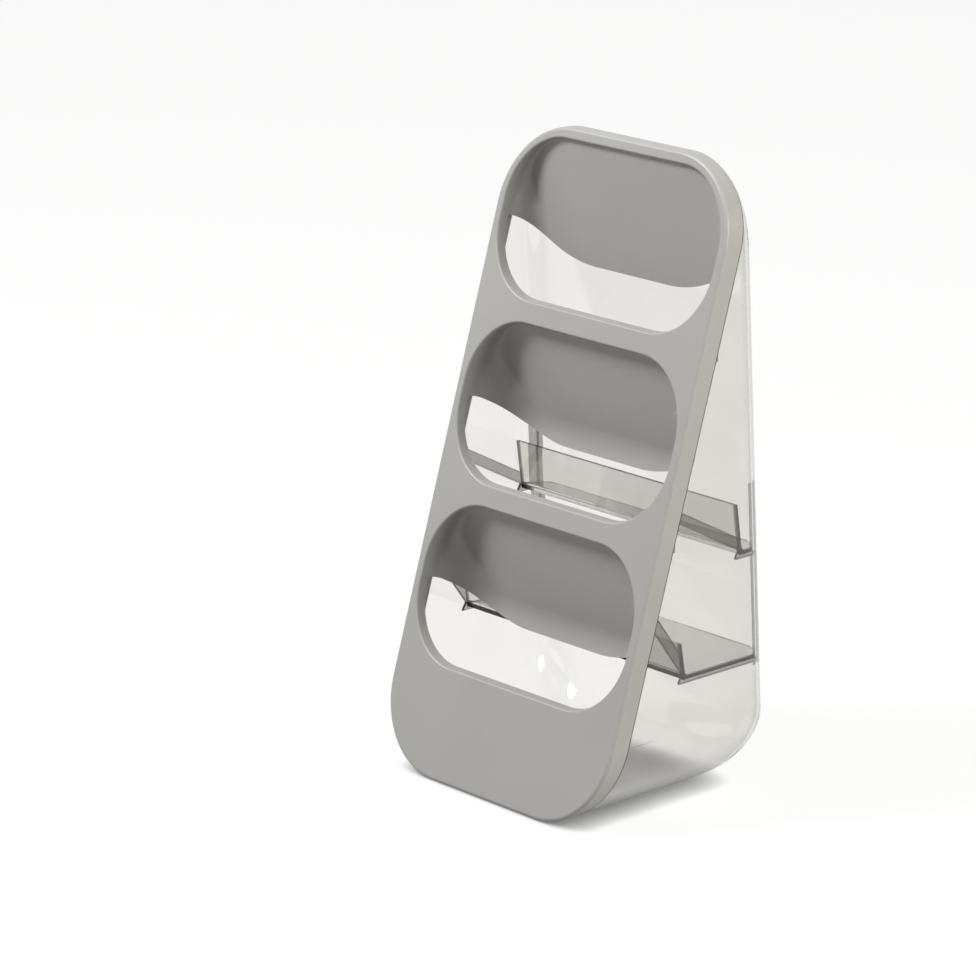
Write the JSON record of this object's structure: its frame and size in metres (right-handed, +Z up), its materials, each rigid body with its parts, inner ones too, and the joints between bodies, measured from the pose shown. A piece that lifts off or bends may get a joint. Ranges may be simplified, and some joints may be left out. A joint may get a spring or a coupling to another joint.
{
  "type": "cutlery dispenser",
  "caption": "Free-standing wedge-shaped cutlery holder: a clear shell with stacked tiers behind a leaning opaque front with rounded, scooped openings.",
  "frame": {"origin": "under the middle of the footprint, on the plane it stands on", "axes": "+Z up, -Y towards the leaning front with the openings, +X to the right seen from the back"},
  "size_m": [0.1588, 0.1223, 0.3156],
  "materials": {
    "clear_plastic": "clear gloss",
    "satin_plastic": "satin"
  },
  "bodies": {
    "shell": {"body_shell": "clear_plastic", "upper_tray": "clear_plastic", "lower_tray": "clear_plastic"},
    "cover": {"front_cover": "satin_plastic"}
  },
  "joints": [
    {"name": "cover_pull", "type": "slide", "parent": "shell", "child": "cover", "axis": [0, -1, 0], "range_m": [0, 0.05]}
  ]
}
